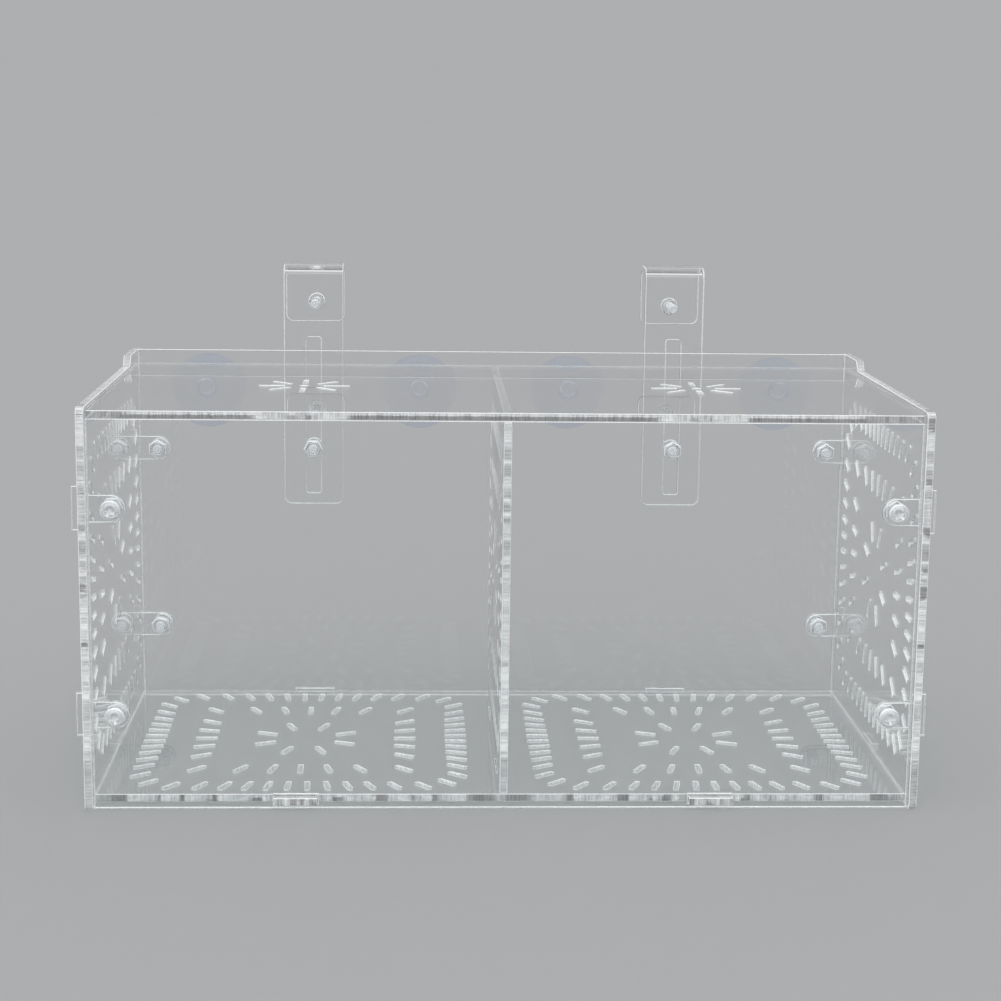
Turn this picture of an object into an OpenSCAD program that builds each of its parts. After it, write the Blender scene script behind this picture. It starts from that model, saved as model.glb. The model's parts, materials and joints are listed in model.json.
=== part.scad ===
// Breeding box of clear sheet, hung inside a tank by two bent hangers.
// Millimetres. X runs along the box, Y from front to back, Z up.
// The origin is the middle of the base, level with the panels' bottom edges.

/* [Box] */
// Outer width across the two side panels
box_w = 300; // [250:5:380]
// Depth of the side panels from front edge to rear edge
box_d = 150; // [135:5:200]
// Height of the back panel and of the raised rear corners
box_h = 150; // [135:1:200]
// Thickness of the clear sheet that every panel is cut from
sheet = 3; // [2.5:0.1:4]
// How far the side panels stand past the front and back panels
edge_lip = 3; // [2:0.5:6]
// Height of the raised rear corners above the side panels' top edges
corner_rise = 4; // [1:0.5:10]
// Length of each raised rear corner along its top
corner_length = 27; // [15:1:45]
// How far the lid's top face lies below the side panels' top edges
lid_recess = 1.5; // [0.5:0.5:6]
// Height of the floor's underside above the panels' bottom edges
floor_raise = 2; // [1:0.5:8]

/* [Tabs] */
// Width of the tabs that lock the panels together
tab_w = 16; // [8:1:24]
// How far a floor tab stands out past the panel that it passes through
tab_proud = 3; // [0:0.5:5]
// Distance between the two tabs under the divider
divider_tab_pitch = 70; // [45:5:80]
// Gap left round each tab and clip in its slot
cut_play = 0.1; // [0.05:0.05:0.2]
// Gap at each end of the loose divider and round the loose lid
loose_play = 0.3; // [0.1:0.1:0.8]

/* [Clips] */
// Distance between the upper and the lower clip of a corner
clip_pitch = 75; // [50:5:85]
// Height of a clip's head, outside the side panel
clip_head_h = 16; // [13:1:22]
// Thickness of a clip's head past the side panel
clip_head_w = 3; // [2:0.5:5]
// Height of a clip's shank, inside the box
clip_shank_h = 10; // [9:0.5:12]
// Distance from the side panel's inner face to the clip's screw
clip_reach = 8; // [6.5:0.5:14]

/* [Fasteners] */
// Diameter of the screws
screw_d = 4; // [3:0.5:5]
// Diameter of the screws' pan heads
head_d = 7.2; // [6.5:0.1:8.5]
// Height of the pan heads
head_h = 2.6; // [2:0.1:3]
// Distance across the cross recess in each head
driver_span = 4; // [3:0.1:4.8]
// Width of the four arms of the recess
driver_w = 1; // [0.6:0.1:1.4]
// Depth of the recess
driver_depth = 1.4; // [0.8:0.1:1.6]
// Width of the hexagonal nuts across their flats
nut_flats = 7; // [6.5:0.5:8]
// Thickness of the nuts
nut_t = 3.2; // [2.4:0.1:4]
// Length of thread that shows past a nut
thread_end = 0.8; // [0.4:0.1:2]
// Gap round each screw in its hole
screw_play = 0.1; // [0.05:0.01:0.1]

/* [Vents] */
// Length of each vent slot
vent_length = 8; // [5:0.5:9]
// Width of each vent slot
vent_w = 1.6; // [1:0.1:2]
// Distance from a pattern's centre to its inner ring of slots
inner_ring = 15.4; // [13:0.2:18]
// Distance between the middle and the outer ring of slots
ring_step = 20; // [12:1:22]
// Distance from the outer ring to the chamber's side walls
vent_margin_w = 14; // [10:1:18]
// Distance from the outer ring to the front and back panels
vent_margin_d = 10.4; // [10:0.2:14]
// Distance from the outer ring to the floor and the lid
vent_margin_h = 13.2; // [8:0.2:16]
// How far the corner slots of the outer ring are drawn in
corner_pull = 4; // [2:0.5:6]
// Distance from a lid vent's centre to the outer ends of its slots
lid_vent_r = 17; // [13:0.5:25]
// Length of the slots in a lid vent
lid_slot_length = 9.5; // [5:0.5:10]
// Diameter of the hole in the middle of a lid vent
lid_hole_d = 3; // [2:0.5:5]

/* [Hangers] */
// How far each hanger sits outwards from the middle of its chamber
hanger_shift = 0; // [-9:1:3]
// Width of a hanger
hanger_w = 24.5; // [18:0.5:28]
// Height of a hanger's lower end above the base
hanger_foot = 85; // [75:1:95]
// Height of a hanger's top above the base
hanger_top = 185; // [170:1:220]
// Gap between a hanger's plate and its flap, where the tank wall goes
throat = 15; // [8:1:30]
// Height of the flap, from the hanger's top down
flap_h = 25; // [21:1:40]
// Radius inside each bend
bend_r = 2; // [1:0.5:4]
// Radius of the rounded corners
hanger_corner = 3; // [1:0.5:6]
// Width of the long adjusting slot
adjust_w = 6; // [5.5:0.1:6.5]
// Length of the adjusting slot from end to end
adjust_length = 65; // [50:1:66]
// Radius in the corners of the adjusting slot
adjust_corner = 1; // [0.5:0.1:2]
// Distance from a hanger's lower end to the adjusting slot
adjust_foot = 5; // [4:0.5:10]
// Length of a clamp screw below its head
clamp_length = 16; // [12:0.5:18]
// Distance from a hanger's top to its clamp screw
clamp_drop = 17.5; // [12:0.5:18]
// How far the left clamp screw is backed out
left_clamp_out = 10; // [0:0.5:12]
// How far the right clamp screw is backed out
right_clamp_out = 0; // [0:0.5:12]

/* [Suction cups] */
// Distance from the divider's middle plane to the inner cups
cup_x_inner = 31; // [28:1:38]
// Distance from the side panels' inner faces to the outer cups
cup_side_gap = 28; // [28:1:35]
// Distance from the top of the back panel down to the cups
cup_drop = 18; // [17:0.5:22]
// Diameter of a cup's rim
cup_d = 31; // [24:0.5:33]
// Depth of a cup from its seat to its rim
cup_depth = 8; // [6:0.5:12]
// Thickness of a cup at its rim
cup_rim = 0.6; // [0.4:0.1:1.2]
// Thickness of a cup's bell in the middle
cup_wall = 2; // [1:0.1:3]
// Height of the seat between the back panel and a cup's bell
cup_seat_h = 1.5; // [1:0.1:2.5]
// Diameter of a cup's neck
cup_neck_d = 5; // [4:0.5:6]
// Diameter of the button that holds a cup in its hole
cup_button_d = 8.5; // [7:0.5:11]
// Height of the button
cup_button_h = 3; // [2:0.5:5]
// Radius of the rounding on the button
cup_button_r = 1; // [0.5:0.1:1.6]

/* [Hidden] */
$fn = 64;

// Faces of the box
inner_x = box_w / 2 - sheet;
front_face = -box_d / 2 + edge_lip;
back_face = box_d / 2 - edge_lip;
inner_front = front_face + sheet;
inner_back = back_face - sheet;
inner_d = inner_back - inner_front;
side_h = box_h - corner_rise;
lid_seat = side_h - lid_recess - sheet;
floor_top = floor_raise + sheet;
mid_h = (floor_raise + lid_seat) / 2;

// Each half of the floor has one pattern and one pair of tabs
half_x = box_w / 4;
chamber_w = inner_x - sheet / 2;

// Outer ring of the vents, as half its width, depth and height
ring_w = chamber_w / 2 - vent_margin_w;
ring_d = inner_d / 2 - vent_margin_d;
ring_h = (lid_seat - floor_top) / 2 - vent_margin_h;
ring_counts = [8, 24, 52];

// Slots of one lid vent
lid_ray_count = 8;

// Places of the clips and their screws
clip_x = inner_x - clip_reach;
clip_heights = [mid_h + clip_pitch / 2, mid_h - clip_pitch / 2];
clip_screw_length = 2 * sheet + nut_t + thread_end;
hole_d = screw_d + 2 * screw_play;

// Hangers lie flat on the back panel, behind the middle of each chamber
hanger_x = half_x + hanger_shift;
hanger_z = clip_heights[0];
bend_out = bend_r + sheet;
hanger_back = back_face + sheet;
flap_front = hanger_back + throat;
flap_back = flap_front + sheet;
clamp_z = hanger_top - clamp_drop;

cup_z = box_h - cup_drop;
cup_x_outer = inner_x - cup_side_gap;

// Distance that cutting shapes run past the faces they cut
over = 1;

// ---- Flat shapes ----

// A rectangle with rounded corners, round the origin
module rounded_rectangle(width, height, radius) {
    square([width, height - 2 * radius], center = true);
    square([width - 2 * radius, height], center = true);
    for (x = [-1, 1])
        for (y = [-1, 1])
            translate([x * (width / 2 - radius), y * (height / 2 - radius)]) circle(radius);
}

// A rectangle on Y = 0 whose two lower corners are rounded
module tongue_shape(width, height, radius) {
    translate([-width / 2, radius]) square([width, height - radius]);
    translate([-width / 2 + radius, 0]) square([width - 2 * radius, radius + over / 2]);
    for (side = [-1, 1])
        translate([side * (width / 2 - radius), radius]) circle(radius);
}

// Where a ring's slot of the given angle sits, on a square of half-size 1
function square_ring(angle) =
    [cos(angle), sin(angle)] / max(abs(cos(angle)), abs(sin(angle)));

// Only the slots on the outer ring's diagonals are drawn in
function is_diagonal(angle) = abs(abs(cos(angle)) - abs(sin(angle))) < 0.001;

// One ring of slots that point away from the middle
module ring_of_slots(half_w, half_h, count, start, pull) {
    for (i = [0 : count - 1]) {
        angle = start + i * 360 / count;
        drawn = is_diagonal(angle) ? pull : 0;
        unit = square_ring(angle);
        place = [unit.x * (half_w - drawn), unit.y * (half_h - drawn)];
        translate(place)
            rotate(atan2(place.y, place.x)) square([vent_length, vent_w], center = true);
    }
}

// Three square rings of slots, like rays from a sun
module sunburst(half_w, half_h) {
    inner_start = 180 / ring_counts[0];
    outer_start = 180 / ring_counts[2];
    ring_of_slots(inner_ring, inner_ring, ring_counts[0], inner_start, 0);
    ring_of_slots(half_w - ring_step, half_h - ring_step, ring_counts[1], 0, 0);
    ring_of_slots(half_w, half_h, ring_counts[2], outer_start, corner_pull);
}

// A small round vent: a hole and eight rays
module lid_vent() {
    circle(d = lid_hole_d);
    for (i = [0 : lid_ray_count - 1])
        rotate(i * 360 / lid_ray_count)
            translate([lid_vent_r - lid_slot_length / 2, 0])
                square([lid_slot_length, vent_w], center = true);
}

// Slot for a tab of the sheet, lying along X
module tab_slot(width) {
    square([width + 2 * cut_play, sheet + 2 * cut_play], center = true);
}

// ---- Sheets ----

// A flat shape drawn as X and Z, cut from the sheet with its front face at y
module upright_sheet(y) {
    translate([0, y + sheet, 0]) rotate([90, 0, 0]) linear_extrude(sheet) children();
}

// A flat shape drawn as Y and Z, cut from the sheet with its left face at x
module side_sheet(x) {
    translate([x, 0, 0]) rotate([90, 0, 90]) linear_extrude(sheet) children();
}

// A flat shape drawn as X and Y, cut from the sheet with its lower face at z
module level_sheet(z) {
    translate([0, 0, z]) linear_extrude(sheet) children();
}

// ---- Panels ----

// What the front and back panels have in common, as X and Z
module end_shape(height) {
    difference() {
        translate([-inner_x, 0]) square([2 * inner_x, height]);
        for (side = [-1, 1]) {
            for (z = clip_heights)
                translate([side * clip_x, z]) circle(d = hole_d);
            translate([side * half_x, floor_raise + sheet / 2]) tab_slot(tab_w);
        }
    }
}

module front_panel() {
    color("white", 0.3) upright_sheet(front_face) end_shape(lid_seat);
}

module back_panel() {
    color("white", 0.3) upright_sheet(inner_back)
        difference() {
            end_shape(box_h);
            for (side = [-1, 1]) {
                translate([side * hanger_x, hanger_z]) circle(d = hole_d);
                for (x = [cup_x_inner, cup_x_outer])
                    translate([side * x, cup_z]) circle(d = cup_neck_d + 2 * screw_play);
            }
        }
}

// Outline of a side panel with its raised rear corner, as Y and Z
module side_outline() {
    polygon([
        [-box_d / 2, 0],
        [box_d / 2, 0],
        [box_d / 2, box_h],
        [box_d / 2 - corner_length, box_h],
        [box_d / 2 - corner_length - corner_rise, side_h],
        [-box_d / 2, side_h]
    ]);
}

module side_panel_shape() {
    difference() {
        side_outline();
        translate([0, mid_h]) sunburst(ring_d, ring_h);
        for (z = clip_heights)
            for (y = [inner_front + sheet / 2, inner_back - sheet / 2])
                translate([y, z]) rotate(90) tab_slot(clip_shank_h);
        translate([0, floor_raise + sheet / 2]) tab_slot(tab_w);
    }
}

module left_side_panel() {
    color("white", 0.3) side_sheet(-box_w / 2) side_panel_shape();
}

module right_side_panel() {
    color("white", 0.3) side_sheet(inner_x) side_panel_shape();
}

// The floor's tabs pass through all four walls; the divider stands in its middle
module floor_panel() {
    reach_d = sheet + tab_proud;
    color("white", 0.3) level_sheet(floor_raise)
        difference() {
            union() {
                translate([-inner_x, inner_front]) square([2 * inner_x, inner_d]);
                for (side = [-1, 1])
                    translate([side * half_x - tab_w / 2, inner_front - reach_d])
                        square([tab_w, inner_d + 2 * reach_d]);
                translate([-inner_x - reach_d, -tab_w / 2])
                    square([2 * (inner_x + reach_d), tab_w]);
            }
            for (side = [-1, 1]) {
                translate([side * half_x, 0]) sunburst(ring_w, ring_d);
                translate([0, side * divider_tab_pitch / 2])
                    rotate(90) tab_slot(tab_w);
            }
        }
}

module divider() {
    length = inner_d - 2 * loose_play;
    color("white", 0.3) side_sheet(-sheet / 2)
        difference() {
            union() {
                translate([-length / 2, floor_top]) square([length, lid_seat - floor_top]);
                for (side = [-1, 1])
                    translate([side * divider_tab_pitch / 2 - tab_w / 2, floor_raise])
                        square([tab_w, 2 * sheet]);
            }
            translate([0, mid_h]) sunburst(ring_d, ring_h);
        }
}

module lid() {
    width = 2 * (inner_x - loose_play);
    color("white", 0.3) level_sheet(lid_seat)
        difference() {
            translate([-width / 2, front_face])
                square([width, inner_back - loose_play - front_face]);
            for (side = [-1, 1])
                translate([side * half_x, (front_face + inner_back) / 2]) lid_vent();
        }
}

// ---- Clips and fasteners ----

// A flat T: its head lies outside the right side panel and its shank inside
module clip_shape() {
    shank_end = box_w / 2 - clip_x;
    translate([0, -clip_head_h / 2]) square([clip_head_w, clip_head_h]);
    difference() {
        union() {
            translate([-shank_end, -clip_shank_h / 2])
                square([shank_end + clip_head_w / 2, clip_shank_h]);
            translate([-shank_end, 0]) circle(d = clip_shank_h);
        }
        translate([-shank_end, 0]) circle(d = hole_d);
    }
}

// The clip of the corner on the given side, against the front or the back panel
module clip(side, at_front, z) {
    y = at_front ? inner_front : inner_back - sheet;
    color("white", 0.3)
        mirror([side < 0 ? 1 : 0, 0, 0])
            upright_sheet(y) translate([box_w / 2, z]) clip_shape();
}

// A cross that narrows with depth, cut down from z = 0 upwards
module driver_recess() {
    intersection() {
        translate([0, 0, -over])
            cylinder(d1 = driver_span + over, d2 = driver_w, h = driver_depth + over);
        for (turn = [0, 90])
            rotate(turn) cube([driver_span, driver_w, 2 * driver_depth], center = true);
    }
}

// A pan head screw along +Y: its head lies before y = 0 and its thread behind
module pan_screw(length) {
    crown = head_h / 2;
    rotate([-90, 0, 0]) {
        cylinder(d = screw_d, h = length);
        difference() {
            translate([0, 0, -head_h])
                intersection() {
                    cylinder(d = head_d, h = head_h);
                    cylinder(d1 = head_d - crown, d2 = head_d + head_h - crown, h = head_h);
                }
            translate([0, 0, -head_h]) driver_recess();
        }
    }
}

// A hexagonal nut along +Y, with the corners of both faces turned off.
// A turn of 0 leaves two corners level.
module hex_nut(turn) {
    corner_d = nut_flats / cos(30);
    rotate([-90, 0, 0])
        rotate(turn) difference() {
            intersection() {
                cylinder(d = corner_d, h = nut_t, $fn = 6);
                cylinder(d1 = nut_flats, d2 = nut_flats + 4 * nut_t, h = nut_t);
                cylinder(d1 = nut_flats + 4 * nut_t, d2 = nut_flats, h = nut_t);
            }
            translate([0, 0, -over]) cylinder(d = hole_d, h = nut_t + 2 * over);
        }
}

// Puts its children at the four clip screws of one end of the box
module at_clip_screws(y) {
    for (side = [-1, 1])
        for (z = clip_heights)
            translate([side * clip_x, y, z]) children();
}

module front_clip_screws() {
    color("ghostwhite", 0.6) at_clip_screws(front_face) pan_screw(clip_screw_length);
}

module front_clip_nuts() {
    color("ghostwhite", 0.6) at_clip_screws(inner_front + sheet) hex_nut(30);
}

module back_clip_screws() {
    color("ghostwhite", 0.6) at_clip_screws(back_face) rotate(180) pan_screw(clip_screw_length);
}

module back_clip_nuts() {
    color("ghostwhite", 0.6) at_clip_screws(inner_back - sheet) rotate(180) hex_nut(30);
}

// ---- Hangers ----

// One quarter of a bend, from straight up to straight back
module bend_shape() {
    difference() {
        intersection() {
            circle(bend_out);
            translate([-bend_out, 0]) square(bend_out);
        }
        circle(bend_r);
    }
}

// The bridge over the tank's rim, as Y and Z from the top of the plate's bend
module bridge_shape() {
    translate([bend_out, 0]) bend_shape();
    translate([bend_out, bend_r]) square([throat - 2 * bend_r, sheet]);
    translate([throat + 2 * sheet - bend_out, 0]) mirror([1, 0]) bend_shape();
}

module hanger(side) {
    bend_z = hanger_top - bend_out;
    plate_h = bend_z - hanger_foot;
    color("white", 0.3)
        translate([side * hanger_x, 0, 0])
            difference() {
                union() {
                    upright_sheet(back_face)
                        translate([0, hanger_foot]) tongue_shape(hanger_w, plate_h, hanger_corner);
                    translate([-hanger_w / 2, back_face, bend_z])
                        rotate([90, 0, 90]) linear_extrude(hanger_w) bridge_shape();
                    upright_sheet(flap_front)
                        translate([0, hanger_top - flap_h])
                            tongue_shape(hanger_w, flap_h - bend_out, hanger_corner);
                }
                upright_sheet(back_face)
                    translate([0, hanger_foot + adjust_foot + adjust_length / 2])
                        rounded_rectangle(adjust_w, adjust_length, adjust_corner);
                translate([0, flap_front - over, clamp_z])
                    rotate([-90, 0, 0]) cylinder(d = hole_d, h = sheet + 2 * over);
            }
}

// The bolt holds the hanger's plate to the back panel, its nut is in the box
module hanger_bolt(side) {
    length = 2 * sheet + nut_t + thread_end;
    color("ghostwhite", 0.6)
        translate([side * hanger_x, hanger_back, hanger_z]) rotate(180) pan_screw(length);
}

module hanger_nut(side) {
    color("ghostwhite", 0.6)
        translate([side * hanger_x, inner_back, hanger_z])
            rotate(180) hex_nut(side < 0 ? 0 : 30);
}

// The clamp screw goes through the flap towards the plate
module clamp_screw(side, backed_out) {
    color("ghostwhite", 0.6)
        translate([side * hanger_x, flap_back + backed_out, clamp_z])
            rotate(180) pan_screw(clamp_length);
}

// ---- Suction cups ----

// Half a cup's section: X is the radius, Y runs from the button to the rim
module cup_section() {
    button_foot = -sheet - cup_button_h;
    flat_r = cup_button_d / 2 - cup_button_r;
    bell_h = cup_depth - cup_seat_h;
    bell_r = (pow(cup_d / 2, 2) + pow(bell_h, 2)) / (2 * bell_h);
    hollow_h = bell_h - cup_wall;
    hollow_w = cup_d / 2 - cup_rim;
    hollow_r = (pow(hollow_w, 2) + pow(hollow_h, 2)) / (2 * hollow_h);
    translate([0, button_foot]) square([flat_r, cup_button_h]);
    translate([0, button_foot + cup_button_r])
        square([cup_button_d / 2, cup_button_h - cup_button_r]);
    translate([flat_r, button_foot + cup_button_r]) circle(cup_button_r);
    translate([0, -sheet - over / 2]) square([cup_neck_d / 2, sheet + over]);
    square([cup_button_d / 2, cup_seat_h + over]);
    difference() {
        intersection() {
            translate([0, cup_seat_h + bell_r]) circle(bell_r);
            square([cup_d, cup_depth]);
        }
        translate([0, cup_depth - hollow_h + hollow_r]) circle(hollow_r);
    }
}

module cup(x) {
    color("lightcyan", 0.5)
        translate([x, back_face, cup_z])
            rotate([-90, 0, 0]) rotate_extrude() cup_section();
}

// ---- Assembly ----

front_panel();
back_panel();
left_side_panel();
right_side_panel();
floor_panel();
divider();
lid();
clip(-1, true, clip_heights[0]);  // left_front_upper_clip
clip(-1, true, clip_heights[1]);  // left_front_lower_clip
clip(-1, false, clip_heights[0]);  // left_back_upper_clip
clip(-1, false, clip_heights[1]);  // left_back_lower_clip
clip(1, true, clip_heights[0]);  // right_front_upper_clip
clip(1, true, clip_heights[1]);  // right_front_lower_clip
clip(1, false, clip_heights[0]);  // right_back_upper_clip
clip(1, false, clip_heights[1]);  // right_back_lower_clip
front_clip_screws();
front_clip_nuts();
back_clip_screws();
back_clip_nuts();
hanger(-1);  // left_hanger
hanger_bolt(-1);  // left_hanger_bolt
hanger_nut(-1);  // left_hanger_nut
clamp_screw(-1, left_clamp_out);  // left_clamp_screw
hanger(1);  // right_hanger
hanger_bolt(1);  // right_hanger_bolt
hanger_nut(1);  // right_hanger_nut
clamp_screw(1, right_clamp_out);  // right_clamp_screw
cup(-cup_x_outer);  // left_outer_cup
cup(-cup_x_inner);  // left_inner_cup
cup(cup_x_inner);  // right_inner_cup
cup(cup_x_outer);  // right_outer_cup
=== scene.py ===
import json
import math

import bmesh
import bpy
from mathutils import Matrix, Vector

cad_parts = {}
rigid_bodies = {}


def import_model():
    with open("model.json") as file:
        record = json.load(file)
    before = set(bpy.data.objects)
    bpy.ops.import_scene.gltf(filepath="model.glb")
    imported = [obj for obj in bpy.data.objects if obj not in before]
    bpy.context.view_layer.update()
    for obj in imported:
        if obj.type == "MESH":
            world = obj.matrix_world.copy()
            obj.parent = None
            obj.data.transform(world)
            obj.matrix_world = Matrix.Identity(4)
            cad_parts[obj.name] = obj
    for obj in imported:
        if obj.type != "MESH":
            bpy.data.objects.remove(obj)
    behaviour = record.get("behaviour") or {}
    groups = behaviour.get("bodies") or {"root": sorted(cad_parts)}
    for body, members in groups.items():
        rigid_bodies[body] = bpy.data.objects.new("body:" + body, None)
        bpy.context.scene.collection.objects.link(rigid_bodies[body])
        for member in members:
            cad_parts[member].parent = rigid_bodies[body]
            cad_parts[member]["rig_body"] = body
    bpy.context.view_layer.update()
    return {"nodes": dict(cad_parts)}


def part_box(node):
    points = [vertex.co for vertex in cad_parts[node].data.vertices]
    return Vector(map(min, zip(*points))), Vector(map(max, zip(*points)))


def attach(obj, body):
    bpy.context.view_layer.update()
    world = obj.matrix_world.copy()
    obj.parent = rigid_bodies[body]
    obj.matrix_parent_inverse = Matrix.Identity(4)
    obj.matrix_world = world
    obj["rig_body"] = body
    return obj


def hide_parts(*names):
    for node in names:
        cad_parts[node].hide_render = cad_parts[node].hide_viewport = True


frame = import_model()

mm = 0.001
tiny = 0.002 * mm  # points closer than this are one point
number, vector, geometry = "NodeSocketFloat", "NodeSocketVector", "NodeSocketGeometry"


def setSocket(tree, socket, value):
    if isinstance(value, bpy.types.NodeSocket):
        tree.links.new(value, socket)
    else:
        socket.default_value = value


def addNode(tree, kind, inputs=None, **settings):
    node = tree.nodes.new(kind)
    for name, value in settings.items():
        setattr(node, name, value)
    for key, value in (inputs or {}).items():
        setSocket(tree, node.inputs[key], value)
    return node


# Adds a node of which only the first output is wanted
def made(tree, kind, inputs=None, **settings):
    return addNode(tree, kind, inputs, **settings).outputs[0]


def maths(tree, operation, *values):
    return made(tree, "ShaderNodeMath", dict(enumerate(values)), operation=operation)


def vectorMaths(tree, operation, *values):
    return made(tree, "ShaderNodeVectorMath", dict(enumerate(values)), operation=operation)


def separate(tree, place):
    return addNode(tree, "ShaderNodeSeparateXYZ", {0: place}).outputs


def combine(tree, **parts):
    return made(tree, "ShaderNodeCombineXYZ", parts)


def mapRange(tree, value, low, high, newLow=0, newHigh=1, **settings):
    return made(tree, "ShaderNodeMapRange", {
        "Value": value, "From Min": low, "From Max": high, "To Min": newLow, "To Max": newHigh}, **settings)


def mixColors(tree, share, first, second):
    inputs = {"Factor": share, 6: first, 7: second}  # 6 and 7 are its colour sockets
    return addNode(tree, "ShaderNodeMix", inputs, data_type="RGBA").outputs[2]


def joinParts(tree, *parts):
    node = addNode(tree, "GeometryNodeJoinGeometry")
    for part in parts:
        tree.links.new(part, node.inputs[0])
    return node.outputs[0]


# A group tree with named inputs and outputs, given as {name: (socket kind, value)}
def newGroup(name, kind, inputs, outputs):
    tree = bpy.data.node_groups.new(name, kind)
    for inOut, sockets in (("INPUT", inputs), ("OUTPUT", outputs)):
        for label, (socketKind, value) in sockets.items():
            socket = tree.interface.new_socket(label, in_out=inOut, socket_type=socketKind)
            if value is not None:
                socket.default_value = value
    return tree, addNode(tree, "NodeGroupInput").outputs, addNode(tree, "NodeGroupOutput").inputs


def newObject(name, data):
    obj = bpy.data.objects.new(name, data)
    bpy.context.scene.collection.objects.link(obj)
    return obj


# Turns an object's modifiers into its own mesh and takes them off
def applyModifiers(obj):
    bpy.context.view_layer.update()
    evaluated = obj.evaluated_get(bpy.context.evaluated_depsgraph_get())
    obj.data = bpy.data.meshes.new_from_object(evaluated)
    obj.modifiers.clear()


def runTree(obj, tree, values):
    modifier = obj.modifiers.new(tree.name, "NODES")
    modifier.node_group = tree
    for label, value in values.items():
        modifier[tree.interface.items_tree[label].identifier] = value
    applyModifiers(obj)


# Faces outward, round walls smooth and corners sharp
def finishMesh(mesh, sharpFrom=35):
    work = bmesh.new()
    work.from_mesh(mesh)
    bmesh.ops.remove_doubles(work, verts=work.verts, dist=tiny)
    bmesh.ops.recalc_face_normals(work, faces=work.faces)
    work.to_mesh(mesh)
    work.free()
    mesh.shade_smooth()
    mesh.set_sharp_from_angle(angle=math.radians(sharpFrom))


# The finished piece stands for its CAD node and moves with that node's body
def fit(obj, node):
    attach(obj, frame["nodes"][node]["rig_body"])
    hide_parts(node)


# A piece is named after its node: left_hanger becomes leftHanger
def pieceName(node):
    return node[0] + node.title().replace("_", "")[1:]


def middleOf(node):
    low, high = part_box(node)
    return (low + high) / 2


def newMaterial(name):
    material = bpy.data.materials.new(name)
    material.use_nodes = True
    material.node_tree.nodes.clear()
    return material, material.node_tree


# Noise whose marks are about as large as size
def noise(tree, place, size, detail):
    return made(tree, "ShaderNodeTexNoise", {
        "Vector": place, "Scale": maths(tree, "DIVIDE", 1, size), "Detail": detail})


cutMarks = {
    "stretch": (1, 1, 0.05),  # draws the marks out across the sheet's thickness
    "bandDetail": 1.5, "bandFrom": 0.42, "bandTo": 0.6,
    "lineDetail": 2, "lineFrom": 0.44, "lineTo": 0.54,
    "lineShare": 0.6, "bandHeight": 2,
}


# Uneven bands and fine lines that a laser leaves across a cut edge.
# Place is a point on the sheet, with Z across its thickness.
def buildLaserCut():
    tree, given, result = newGroup("laserCut", "ShaderNodeTree", {
        "Place": (vector, None), "Dull": ("NodeSocketColor", (0.54, 0.55, 0.565, 1)),
        "Bright": ("NodeSocketColor", (0.99, 0.995, 1.0, 1)), "Band Width": (number, 2.6 * mm),
        "Line Width": (number, 0.6 * mm), "Line Depth": (number, 0.015 * mm),
        "Least Roughness": (number, 0.0), "Most Roughness": (number, 0.05)},
        {"Base Color": ("NodeSocketColor", None), "Roughness": (number, None), "Normal": (vector, None)})
    across = vectorMaths(tree, "MULTIPLY", given["Place"], cutMarks["stretch"])
    bands = noise(tree, across, given["Band Width"], cutMarks["bandDetail"])
    lines = noise(tree, across, given["Line Width"], cutMarks["lineDetail"])
    band = mapRange(tree, bands, cutMarks["bandFrom"], cutMarks["bandTo"])
    line = mapRange(tree, lines, cutMarks["lineFrom"], cutMarks["lineTo"])
    share = cutMarks["lineShare"]
    bright = maths(tree, "MULTIPLY_ADD", line, share, maths(tree, "MULTIPLY", band, 1 - share))
    rough = mapRange(tree, bright, 0, 1, given["Least Roughness"], given["Most Roughness"])
    bump = made(tree, "ShaderNodeBump", {
        "Height": maths(tree, "MULTIPLY_ADD", band, cutMarks["bandHeight"], line),
        "Distance": given["Line Depth"]})
    setSocket(tree, result["Base Color"], mixColors(tree, bright, given["Dull"], given["Bright"]))
    setSocket(tree, result["Roughness"], rough)
    setSocket(tree, result["Normal"], bump)
    return tree


smears = {"detail": 4, "from": 0.45, "to": 0.75}


# Faint smears and a slow waviness on a polished or moulded face
def buildHandled():
    tree, given, result = newGroup("handled", "ShaderNodeTree", {
        "Place": (vector, None), "Smear Size": (number, 40 * mm), "Least Roughness": (number, 0.0),
        "Most Roughness": (number, 0.03), "Wave Size": (number, 60 * mm), "Wave Depth": (number, 0.02 * mm)},
        {"Roughness": (number, None), "Normal": (vector, None)})
    smear = noise(tree, given["Place"], given["Smear Size"], smears["detail"])
    rough = mapRange(tree, smear, smears["from"], smears["to"], given["Least Roughness"],
                     given["Most Roughness"])
    waves = noise(tree, given["Place"], given["Wave Size"], 0)
    bump = made(tree, "ShaderNodeBump", {"Height": waves, "Distance": given["Wave Depth"]})
    setSocket(tree, result["Roughness"], rough)
    setSocket(tree, result["Normal"], bump)
    return tree


laserCut = buildLaserCut()
handled = buildHandled()


# Lets lamp light through, so that clear pieces cast only a faint shadow
def passLight(tree, shader, shadow):
    paths = addNode(tree, "ShaderNodeLightPath").outputs
    clear = made(tree, "ShaderNodeBsdfTransparent", {"Color": shadow})
    for ray in ("Is Diffuse Ray", "Is Shadow Ray"):
        shader = made(tree, "ShaderNodeMixShader", {0: paths[ray], 1: shader, 2: clear})
    return shader


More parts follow.
